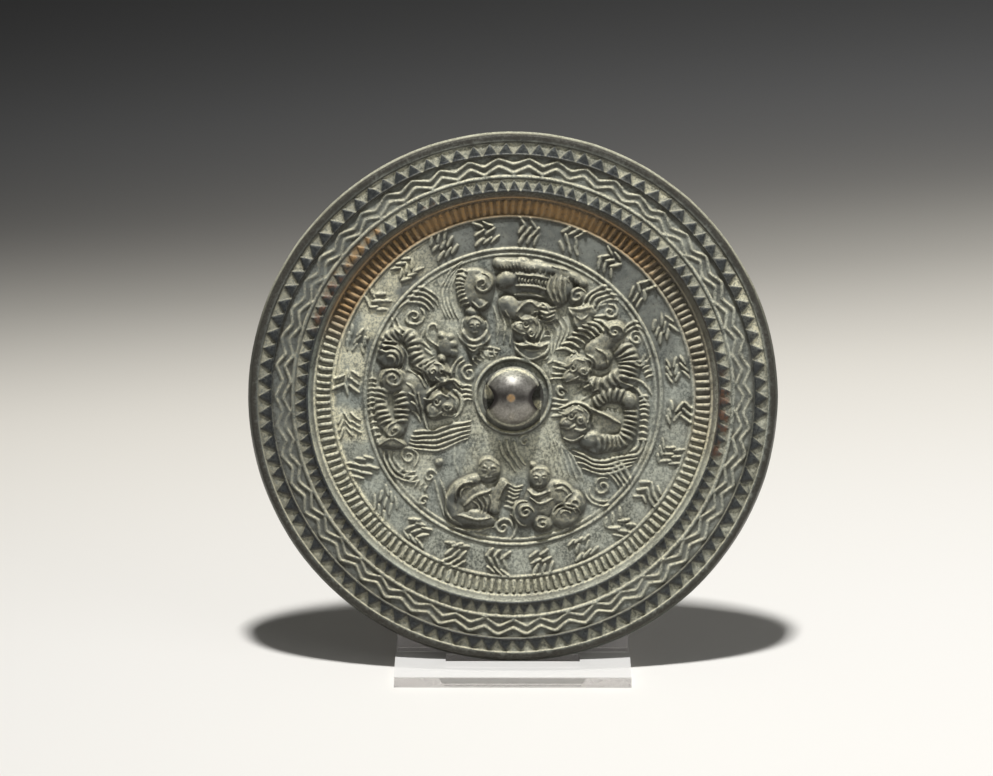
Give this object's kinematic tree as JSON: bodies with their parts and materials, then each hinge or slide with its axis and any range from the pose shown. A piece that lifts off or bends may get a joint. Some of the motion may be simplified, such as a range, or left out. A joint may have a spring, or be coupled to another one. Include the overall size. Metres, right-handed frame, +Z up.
{
  "type": "bronze mirror",
  "caption": "Round cast bronze mirror with a pierced domed knob, beasts and figures in relief and toothed rim bands, leaning in a clear acrylic display stand.",
  "frame": {"origin": "centre of the underside of the stand's foot", "axes": "+Z up, the relief side looks towards -Y and leans back 15 degrees, +X to the viewer's right"},
  "size_m": [0.141, 0.058, 0.1377],
  "materials": {
    "bronze": "grey-green bronze patina, dark and smoother on worn high places, cream and orange-brown earth in the recesses",
    "acrylic": "clear polished sheet"
  },
  "bodies": {
    "root": {"mirror": "bronze", "stand": "acrylic"}
  },
  "joints": []
}
